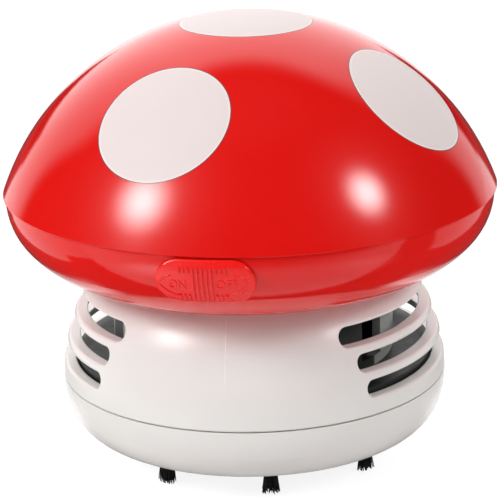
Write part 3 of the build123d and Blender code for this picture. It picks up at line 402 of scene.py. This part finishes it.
def make_bristles():
    form = bmesh.new()
    for tuft in range(TUFTS):
        turn = Matrix.Rotation(math.radians(TUFT_AZIMUTH + tuft * 360 / TUFTS), 3, "Z")
        sway = Vector((random.uniform(-0.0002, 0.0002), random.uniform(-0.0002, 0.0002), 0))
        for i in range(ROWS[0]):
            for j in range(ROWS[1]):
                u, v = (i + 0.5) / ROWS[0] - 0.5, (j + 0.5) / ROWS[1] - 0.5
                u += random.uniform(-0.03, 0.03)
                v += random.uniform(-0.05, 0.05)
                stray = random.random() < 0.03
                lean = Vector((random.gauss(0, 0.00010), random.gauss(0, 0.00010), 0))
                if stray:
                    lean = Vector((random.choice((-1, 1)) * random.uniform(0.0008, 0.0018),
                                   random.uniform(-0.0006, 0.0006), 0))
                tip_z = 0.00016 + random.random() ** 2 * 0.0007
                line = []
                for step in range(5):
                    t = step / 4
                    wide = 0 if t < 0.25 else (t - 0.25) / 0.75
                    x = u * (TUFT_ROOT[0] * 0.92 + (TUFT_TIP[0] - TUFT_ROOT[0]) * wide)
                    y = v * (TUFT_ROOT[1] * 0.9 + (TUFT_TIP[1] - TUFT_ROOT[1]) * wide)
                    spot = Vector((x, y - TUFT_RING, TUFT_TOP + (tip_z - TUFT_TOP) * t))
                    line.append(turn @ (spot + (lean + sway) * wide ** 1.6))
                strand(form, line, BRISTLE * random.uniform(0.85, 1.1))
    mesh = mesh_of(form, "bristles")
    piece("bristles", mesh, bristle_nylon, "cup", "bristle", "bristle_tufts")


CLOTH_RADIUS = 0.0349
CLOTH_THICK = 0.0006
CLOTH_SAG = 0.00022
CLOTH_CREASE = 0.00004
CLOTH_CLEAR = 0.00025       # the felt's top lies this far under the plain disc's


def make_cloth():
    """Thin felt disc that sags a little between the six spokes under it."""
    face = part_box("filter_cloth")[1].z - CLOTH_CLEAR
    form = bmesh.new()
    around, rings = 96, 22

    def layer(lift):
        centre = form.verts.new((0, 0, face + lift))
        grid = []
        for ring in range(1, rings + 1):
            r = CLOTH_RADIUS * ring / rings
            row = []
            for k in range(around):
                a = 2 * math.pi * k / around
                bay = math.sin(3 * a) ** 2
                rise = math.sin(math.pi * min(1.0, r / CLOTH_RADIUS)) ** 1.2
                sag = CLOTH_SAG * bay * rise
                crease = CLOTH_CREASE * math.sin(9 * a + 40 * r / CLOTH_RADIUS) * rise
                z = face + lift - sag + crease
                row.append(form.verts.new((r * math.cos(a), r * math.sin(a), z)))
            grid.append(row)
        for k in range(around):
            form.faces.new((centre, grid[0][k], grid[0][(k + 1) % around]))
        for inner, outer in zip(grid, grid[1:]):
            for k in range(around):
                n = (k + 1) % around
                form.faces.new((inner[k], outer[k], outer[n], inner[n]))
        return grid[-1]

    top, under = layer(0.0), layer(-CLOTH_THICK)
    for k in range(around):
        n = (k + 1) % around
        form.faces.new((top[k], under[k], under[n], top[n]))
    cloth = piece("filter_felt", mesh_of(form, "filter_felt"), felt, "filter", "filter_cloth", "filter_cloth")


# Words and pointers that stand out of the slider's face.
SLIDER_TURN = Matrix.Rotation(math.radians(-1.35), 3, "Z")
RAISED = 0.00016            # height of words and ridges, and how deep they are rooted
SUNK = 0.00006
RIDGE = ((-1, -SUNK), (-0.75, RAISED * 0.7), (0, RAISED), (0.75, RAISED * 0.7), (1, -SUNK))
RIDGE_WIDTH = 0.00038


def face_point(tree, x, z):
    """Point and outward normal of the slider's face in front of (x, z), before the slider's turn."""
    start = SLIDER_TURN @ Vector((x, -0.070, z))
    hit, normal, _, _ = tree.ray_cast(start, SLIDER_TURN @ Vector((0, 1, 0)))
    return hit, normal


def slider_tree():
    mesh = nodes["switch_slider"].data
    return BVHTree.FromPolygons([v.co for v in mesh.vertices], [tuple(p.vertices) for p in mesh.polygons])


def flat_word(text, size):
    curve = bpy.data.curves.new("word", "FONT")
    curve.body = text
    curve.size = size
    curve.resolution_u = 3
    curve.align_x = "CENTER"
    curve.align_y = "CENTER"
    holder = bpy.data.objects.new("word", curve)
    scene.collection.objects.link(holder)
    bpy.context.view_layer.update()
    flat = bpy.data.meshes.new_from_object(holder)
    bpy.data.objects.remove(holder)
    return flat


def in_order(form):
    """The same mesh with points and faces sorted by place: extruding orders them anew on each run."""
    bmesh.ops.recalc_face_normals(form, faces=form.faces)
    points = sorted(form.verts, key=lambda v: tuple(v.co))
    rank = {v: i for i, v in enumerate(points)}
    rings = sorted([rank[v] for v in face.verts] for face in form.faces)
    made = bmesh.new()
    verts = [made.verts.new(v.co) for v in points]
    for ring in rings:
        made.faces.new([verts[i] for i in ring])
    form.free()
    return made


def word(text, centre_x, centre_z, width, height, tree):
    """Raised word of a given width and height, wrapped onto the slider's face."""
    flat = flat_word(text, 0.002)
    form = bmesh.new()
    form.from_mesh(flat)
    xs = [v.co.x for v in form.verts]
    ys = [v.co.y for v in form.verts]
    mid = ((min(xs) + max(xs)) / 2, (min(ys) + max(ys)) / 2)
    scale = (width / (max(xs) - min(xs)), height / (max(ys) - min(ys)))
    bmesh.ops.remove_doubles(form, verts=form.verts, dist=1e-7)
    sides = bmesh.ops.extrude_face_region(form, geom=form.faces[:])
    raised = {v for v in sides["geom"] if isinstance(v, bmesh.types.BMVert)}
    for v in form.verts:
        x = centre_x + (v.co.x - mid[0]) * scale[0]
        z = centre_z + (v.co.y - mid[1]) * scale[1]
        hit, normal = face_point(tree, x, z)
        v.co = hit + normal * (RAISED if v in raised else -SUNK)
    return in_order(form)


def stroke(points, width, tree):
    """Rounded ridge along a line of (x, z) points on the slider's face."""
    form = bmesh.new()
    rows = []
    count = len(points)
    for i, (x, z) in enumerate(points):
        nx, nz = points[min(i + 1, count - 1)]
        px, pz = points[max(i - 1, 0)]
        along = Vector((nx - px, nz - pz)).normalized()
        side = Vector((-along.y, along.x)) * width / 2
        taper = 0.35 if i in (0, count - 1) else 1.0
        row = []
        for across, rise in RIDGE:
            hit, normal = face_point(tree, x + side.x * across * taper, z + side.y * across * taper)
            row.append(form.verts.new(hit + normal * (rise if rise < 0 else rise * taper)))
        rows.append(row)
    for a, b in zip(rows, rows[1:]):
        for k in range(len(a) - 1):
            form.faces.new((a[k], a[k + 1], b[k + 1], b[k]))
        form.faces.new((a[-1], a[0], b[0], b[-1]))
    form.faces.new(rows[0])
    form.faces.new(reversed(rows[-1]))
    return form


def bow(start, middle, end, count=9):
    """Points on a smooth bow through a middle point."""
    points = []
    for i in range(count):
        t = i / (count - 1)
        q = Vector(middle) * 2 - (Vector(start) + Vector(end)) / 2
        p = Vector(start) * (1 - t) ** 2 + q * 2 * t * (1 - t) + Vector(end) * t * t
        points.append((p.x, p.y))
    return points


def make_lettering():
    tree = slider_tree()
    mm = 0.001
    for name, text, x, z, width, height in (("word_on", "ON", -5.45, 53.4, 3.5, 1.95),
                                            ("word_off", "OFF", 4.4, 53.65, 4.4, 1.95)):
        form = word(text, x * mm, z * mm, width * mm, height * mm, tree)
        piece(name, mesh_of(form, name, smooth=False), red_raised, "slider", "red_plastic")
    lines = {
        "pointer_on_low": bow((-9.2, 53.35), (-7.5, 51.65), (-5.2, 50.75)),
        "pointer_on_high": bow((-9.2, 53.6), (-8.2, 54.75), (-6.6, 55.35)),
        "pointer_off_low": bow((8.4, 53.75), (6.7, 52.0), (4.4, 51.15)),
        "pointer_off_high": bow((8.4, 54.0), (7.4, 55.1), (5.9, 55.7)),
    }
    for name, points in lines.items():
        form = stroke([(x * mm, z * mm) for x, z in points], RIDGE_WIDTH, tree)
        piece(name, mesh_of(form, name), red_raised, "slider", "red_plastic")


# ---- Screws with a cross recess ----------------------------------------------------------
def islands(mesh):
    """Lists of vertex places, one for each separate solid of a mesh."""
    form = bmesh.new()
    form.from_mesh(mesh)
    bmesh.ops.remove_doubles(form, verts=form.verts, dist=1e-6)
    left = set(form.verts)
    found = []
    while left:
        todo, group = [left.pop()], []
        while todo:
            v = todo.pop()
            group.append(v.co.copy())
            for e in v.link_edges:
                o = e.other_vert(v)
                if o in left:
                    left.remove(o)
                    todo.append(o)
        found.append(group)
    form.free()
    return sorted(found, key=lambda g: tuple(round(min(p[k] for p in g), 5) for k in range(3)))


def add_screw(form, points):
    """Pan-head screw over one plain solid: domed head with a cross recess, pointed shank."""
    low = Vector([min(p[k] for p in points) for k in range(3)])
    high = Vector([max(p[k] for p in points) for k in range(3)])
    size = high - low
    middle = (low + high) / 2
    axis = max(range(3), key=lambda k: size[k])
    length = size[axis]
    others = [k for k in range(3) if k != axis]

    def reach(p):
        return math.hypot(*(p[k] - middle[k] for k in others))

    head_radius = max(reach(p) for p in points)
    wide = [p[axis] for p in points if reach(p) > head_radius * 0.97]
    at_high = sum(wide) / len(wide) > middle[axis]
    head = max(wide) - min(wide)
    shank = max(reach(p) for p in points if abs(p[axis] - (low if at_high else high)[axis]) < length * 0.2)
    along = Vector([1.0 if k == axis else 0.0 for k in range(3)]) * (1 if at_high else -1)
    across = Vector([1.0 if k == others[0] else 0.0 for k in range(3)])
    other = along.cross(across)
    top = middle + along * length / 2
    sides = 32

    def ring(radius, depth):
        return [form.verts.new(top - along * depth + (across * math.cos(a) + other * math.sin(a)) * radius)
                for a in (2 * math.pi * k / sides for k in range(sides))]

    def join(a, b):
        for k in range(len(a)):
            n = (k + 1) % len(a)
            form.faces.new((a[k], a[n], b[n], b[k]))

    profile = [(head_radius * 0.72, 0.0), (head_radius * 0.9, head * 0.10), (head_radius * 0.985, head * 0.3),
               (head_radius, head * 0.5), (head_radius, head), (shank, head), (shank, length - shank * 0.8),
               (shank * 0.25, length)]
    rings = [ring(*one) for one in profile]
    for a, b in zip(rings, rings[1:]):
        join(a, b)
    form.faces.new(rings[-1])
    arm, half, depth = head_radius * 0.52, head_radius * 0.11, head * 0.55
    plus = [(arm, -half), (arm, half), (half, half), (half, arm), (-half, arm), (-half, half), (-arm, half),
            (-arm, -half), (-half, -half), (-half, -arm), (half, -arm), (half, -half)]

    def cross(scale, deep):
        return [form.verts.new(top - along * deep + (across * x + other * y) * scale) for x, y in plus]

    mouth, pit = cross(1.0, 0.0), cross(0.72, depth)
    join(mouth, pit)
    form.faces.new(pit)
    edges = []
    for loop in (rings[0], mouth):
        for k in range(len(loop)):
            n = (k + 1) % len(loop)
            edges.append(form.edges.get((loop[k], loop[n])))
    bmesh.ops.triangle_fill(form, use_beauty=True, edges=edges)


def make_screws():
    for node_name in ("shell_screws", "fan_base_screws", "tray_screws", "switch_screws"):
        form = bmesh.new()
        for points in islands(nodes[node_name].data):
            add_screw(form, points)
        mesh = mesh_of(form, node_name + "_crossed", smooth=False)
        piece(node_name + "_crossed", mesh, zinc, "body", "screw_steel", node_name)


make_bristles()
make_cloth()
make_lettering()
make_screws()


# ---- Floor, light and camera ----------------------------------------------------------
CAMERA_AZIMUTH = math.radians(8.9)
CAMERA_ELEVATION = math.radians(17.615)
CAMERA_ROLL = math.radians(-1.499)
CAMERA_DISTANCE = 0.5
CAMERA_LENS = 166.23         # mm, on a sensor 36 mm wide
CAMERA_AIM = (-0.00035, 0, 0.04394)
TURN = Matrix.Rotation(CAMERA_AZIMUTH, 3, "Z")
SIDE = TURN @ Vector((1, 0, 0))      # to the right of the camera
DEPTH = TURN @ Vector((0, 1, 0))     # away from the camera


def towards(azimuth, elevation):
    """Direction for an azimuth counted from the camera's side, positive to its right."""
    a, e = math.radians(azimuth), math.radians(elevation)
    return TURN @ Vector((math.sin(a) * math.cos(e), -math.cos(a) * math.cos(e), math.sin(e)))


def make_camera():
    back = TURN @ Vector((0, -math.cos(CAMERA_ELEVATION), math.sin(CAMERA_ELEVATION)))
    up = back.cross(SIDE)
    right = SIDE * math.cos(CAMERA_ROLL) + up * math.sin(CAMERA_ROLL)
    top = up * math.cos(CAMERA_ROLL) - SIDE * math.sin(CAMERA_ROLL)
    data = bpy.data.cameras.new("camera")
    data.sensor_width = 36
    data.lens = CAMERA_LENS
    data.clip_start = 0.01
    camera = bpy.data.objects.new("camera", data)
    scene.collection.objects.link(camera)
    spot = TURN @ Vector(CAMERA_AIM) + back * CAMERA_DISTANCE
    camera.matrix_world = Matrix((
        (right.x, top.x, back.x, spot.x),
        (right.y, top.y, back.y, spot.y),
        (right.z, top.z, back.z, spot.z),
        (0, 0, 0, 1)))
    scene.camera = camera


# The table as gloss shows it. Each edge is the pair of places between which the light fades,
# counted from the axis to the camera's right (u) or away from the camera (v).
LEFT_EDGE, RIGHT_EDGE, FRONT_EDGE, FAR_EDGE = (0.100, 0.107), (0.113, 0.120), (0.047, 0.053), (0.30, 0.36)
LEFT_STRENGTH, RIGHT_STRENGTH, FAR_STRENGTH, BESIDE_STRENGTH = 0.80, 0.62, 1.2, 1.3
LEFT_SPREAD, RIGHT_SPREAD = 0.27, 0.42     # how fast the side edges part behind the object
FRONT_SLANT = 0.25
FRONT_PATCHES = ((-0.080, -0.098, 1.5), (0.090, -0.085, 0.45))   # u, v and strength of two brighter places
PATCH_RADIUS = 0.045
STAND_INNER, STAND_OUTER = (0.24, 0.28), (0.64, 0.58)            # edges of the stands' shade, as |u| / v
TABLE_REST = 0.06            # strength where nothing else shows


def table_in_reflections(g):
    """Strength of the table as gloss shows it: dark under the object, lit in front and at both sides."""
    u = g.vector("DOT_PRODUCT", g.place(), SIDE)
    v = g.vector("DOT_PRODUCT", g.place(), DEPTH)
    behind = g.math("MAXIMUM", v, 0.0)
    left = g.math("SUBTRACT", g.math("MULTIPLY", u, -1.0), g.math("MULTIPLY", behind, LEFT_SPREAD))
    left = g.math("MULTIPLY", g.ease(left, *LEFT_EDGE),
                  g.math("MAXIMUM", g.ease(v, -0.016, -0.010), g.ease(u, -0.122, -0.130)))
    right = g.math("SUBTRACT", u, g.math("MULTIPLY", behind, RIGHT_SPREAD))
    right = g.math("MULTIPLY", g.ease(right, *RIGHT_EDGE), g.ease(v, -0.026, -0.018))
    sides = g.math("ADD", g.math("MULTIPLY", left, LEFT_STRENGTH),
                   g.math("MULTIPLY", right, RIGHT_STRENGTH))
    sides = g.math("MULTIPLY", sides, g.ease(v, -0.05, 0.15, 0.85, 1.5, "LINEAR"))
    slant = g.math("MULTIPLY", g.math("MAXIMUM", g.math("SUBTRACT", u, 0.04), 0.0), FRONT_SLANT)
    ahead = g.math("SUBTRACT", g.math("MULTIPLY", v, -1.0), slant)
    front = g.math("MULTIPLY", g.ease(ahead, *FRONT_EDGE), g.ease(v, -0.19, -0.10))
    front = g.math("MULTIPLY", front, g.ease(u, -0.1, 0.1, 0.95, 0.75, "LINEAR"))
    for x, y, strength in FRONT_PATCHES:
        off = g.vector("DISTANCE", g.place(), SIDE * x + DEPTH * y)
        front = g.math("ADD", front, g.ease(off, PATCH_RADIUS, 0.0, 0.0, strength))
    far = g.math("MULTIPLY", g.ease(v, *FAR_EDGE), FAR_STRENGTH)
    beside = g.math("MULTIPLY", g.ease(g.math("ABSOLUTE", u), 0.073, 0.048), g.ease(v, -0.014, 0.006))
    sides = g.math("MAXIMUM", sides, g.math("MULTIPLY", beside, BESIDE_STRENGTH))
    total = g.math("MAXIMUM", g.math("MAXIMUM", sides, front), far)
    share = g.math("DIVIDE", g.math("ABSOLUTE", u), g.math("MAXIMUM", v, 0.001))
    stand = g.math("MULTIPLY", g.ease(share, *STAND_INNER), g.ease(share, *STAND_OUTER))
    stand = g.math("MULTIPLY", stand, g.ease(v, 0.24, 0.30))
    return g.math("ADD", g.math("MULTIPLY", total, g.math("SUBTRACT", 1.0, stand)), TABLE_REST)


FLOOR_HALF = 3.0
FLOOR_CLEAR = 0.0001         # the floor lies this far under the desk's plane
FLOOR_PALE = (0.88, 0.88, 0.88)      # floor as scattered light meets it
FLOOR_SEEN = (0.25, 0.25, 0.25)      # floor as the camera sees it, beside its glow
FLOOR_GLOW = 0.86            # brings the seen floor to white and leaves the object's shadow


def make_floor():
    """Pale floor: white with a shadow to the camera, a lit table to gloss, plain and pale to the rest."""
    mesh = bpy.data.meshes.new("floor")
    corners = [(x * FLOOR_HALF, y * FLOOR_HALF, 0) for x, y in ((-1, -1), (1, -1), (1, 1), (-1, 1))]
    mesh.from_pydata(corners, [], [(0, 1, 2, 3)])
    floor = bpy.data.objects.new("floor", mesh)
    floor.location = (0, 0, -FLOOR_CLEAR)
    scene.collection.objects.link(floor)
    made = bpy.data.materials.new("floor")
    made.use_nodes = True
    g = Graph(made.node_tree)
    path = g.node("ShaderNodeLightPath")
    seen = g.math("MAXIMUM", path.outputs["Is Camera Ray"], path.outputs["Is Transmission Ray"])
    pale = g.mix(seen, FLOOR_PALE, FLOOR_SEEN)
    diffuse = g.node("ShaderNodeBsdfDiffuse", {"Color": pale})
    shine = g.math("MULTIPLY", seen, FLOOR_GLOW)
    glow = g.node("ShaderNodeEmission", {"Color": (1, 1, 1), "Strength": shine})
    total = g.node("ShaderNodeAddShader")
    g.put(total.inputs[0], diffuse.outputs[0])
    g.put(total.inputs[1], glow.outputs[0])
    mirrored = g.node("ShaderNodeEmission", {"Color": (1, 1, 1), "Strength": table_in_reflections(g)})
    chosen = g.node("ShaderNodeMixShader", {0: path.outputs["Is Glossy Ray"]})
    g.put(chosen.inputs[1], total.outputs[0])
    g.put(chosen.inputs[2], mirrored.outputs[0])
    out = g.node("ShaderNodeOutputMaterial")
    g.put(out.inputs["Surface"], chosen.outputs[0])
    made.cycles.emission_sampling = "NONE"
    mesh.materials.append(made)


# Lamps: azimuth, elevation, radius in degrees, strength, strength of the halo.
LAMPS = ((-61.0, 37.2, 9.7, 17.6, 6.3), (66.3, 36.4, 7.2, 18.0, 4.0))
LAMP_FALL = 2.6              # how sharply a lamp ends, and how fast its halo fades
HALO_FALL = 1.15


def make_world():
    """Studio: a lit wall behind with two dark stands, two round lamps with halos, soft light from the sides.

    Gloss shows wall and lamps, scattered light adds the soft part, and the camera sees white.
    """
    world = bpy.data.worlds.new("studio")
    scene.world = world
    world.use_nodes = True
    g = Graph(world.node_tree)
    ray = g.vector("NORMALIZE", g.node("ShaderNodeTexCoord").outputs["Generated"])
    across = g.vector("DOT_PRODUCT", ray, SIDE)
    depth = g.vector("DOT_PRODUCT", ray, DEPTH)
    up = g.vector("DOT_PRODUCT", ray, (0, 0, 1))
    off = g.math("ABSOLUTE", across)
    wall = g.math("MULTIPLY", g.ease(off, 0.84, 0.73), g.ease(off, 0.74, 0.30, 0.92, 1.72, "LINEAR"))
    wall = g.math("MULTIPLY", wall, g.ease(depth, 0.28, 0.52))
    wall = g.math("MULTIPLY", wall, g.ease(up, 0.95, 0.80))
    stand = g.math("MULTIPLY", g.ease(off, 0.20, 0.25), g.ease(off, 0.56, 0.50))
    stand = g.math("MULTIPLY", stand, g.ease(up, 0.115, 0.075))
    wall = g.math("MULTIPLY", wall, g.math("SUBTRACT", 1.0, stand))
    wall = g.math("MULTIPLY", wall, g.ease(across, -0.3, 0.3, 1.03, 0.93, "LINEAR"))
    light = g.math("ADD", wall, g.ease(up, 0.90, 1.0, 0.012, 0.09))
    for azimuth, elevation, radius, strength, glow in LAMPS:
        close = g.vector("DOT_PRODUCT", ray, towards(azimuth, elevation))
        away = g.math("DIVIDE", g.math("ARCCOSINE", close), math.radians(radius))
        lamp = g.math("EXPONENT", g.math("MULTIPLY", g.math("POWER", away, LAMP_FALL), -1.0))
        halo = g.math("EXPONENT", g.math("MULTIPLY", away, -HALO_FALL))
        lamp = g.math("ADD", g.math("MULTIPLY", lamp, strength), g.math("MULTIPLY", halo, glow))
        light = g.math("ADD", light, lamp)
    path = g.node("ShaderNodeLightPath")
    soft = g.math("MULTIPLY", g.ease(off, 0.2, 0.95, 0.05, 0.27),
                  g.ease(across, -0.8, 0.8, 0.9, 1.45, "LINEAR"))
    dull = g.math("SUBTRACT", 1.0, path.outputs["Is Glossy Ray"])
    light = g.math("ADD", light, g.math("MULTIPLY", soft, dull))
    seen = g.math("MAXIMUM", path.outputs["Is Camera Ray"], path.outputs["Is Transmission Ray"])
    strength = g.node("ShaderNodeMix", data_type="FLOAT")
    g.put(strength.inputs[0], seen)
    g.put(strength.inputs[2], light)
    g.put(strength.inputs[3], 1.0)
    back = g.node("ShaderNodeBackground", {"Color": (1, 1, 1), "Strength": strength.outputs[0]})
    out = g.node("ShaderNodeOutputWorld")
    g.put(out.inputs["Surface"], back.outputs[0])


make_camera()
make_floor()
make_world()
scene.view_settings.view_transform = "Standard"
